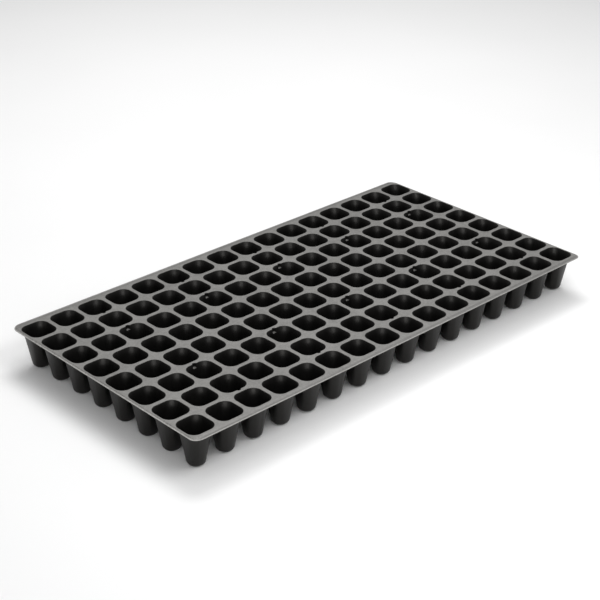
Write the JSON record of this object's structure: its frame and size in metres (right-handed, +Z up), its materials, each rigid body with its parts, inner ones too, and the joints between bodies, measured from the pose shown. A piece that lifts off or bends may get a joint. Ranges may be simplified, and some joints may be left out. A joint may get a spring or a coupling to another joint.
{
  "type": "plug tray",
  "caption": "Black plastic plug tray for raising seedlings: a thin rectangular deck with a grid of tapered, round-cornered cells below it, each with a drain hole, and a stepped lip all round.",
  "frame": {"origin": "under the middle of the tray, on the plane that the cell bottoms stand on", "axes": "+Z up, out of the cells; +X along the tray's length; +Y across it"},
  "size_m": [0.54, 0.28, 0.04],
  "materials": {
    "black_polystyrene": "matte, slightly grained upper face"
  },
  "bodies": {
    "root": {"cell_row_01": "black_polystyrene", "cell_row_02": "black_polystyrene", "cell_row_03": "black_polystyrene", "cell_row_04": "black_polystyrene", "cell_row_05": "black_polystyrene", "cell_row_06": "black_polystyrene", "cell_row_07": "black_polystyrene", "cell_row_08": "black_polystyrene", "cell_row_09": "black_polystyrene", "cell_row_10": "black_polystyrene", "cell_row_11": "black_polystyrene", "cell_row_12": "black_polystyrene", "cell_row_13": "black_polystyrene", "cell_row_14": "black_polystyrene", "cell_row_15": "black_polystyrene", "cell_row_16": "black_polystyrene", "border_front": "black_polystyrene", "border_back": "black_polystyrene", "border_left": "black_polystyrene", "border_right": "black_polystyrene"}
  },
  "joints": []
}
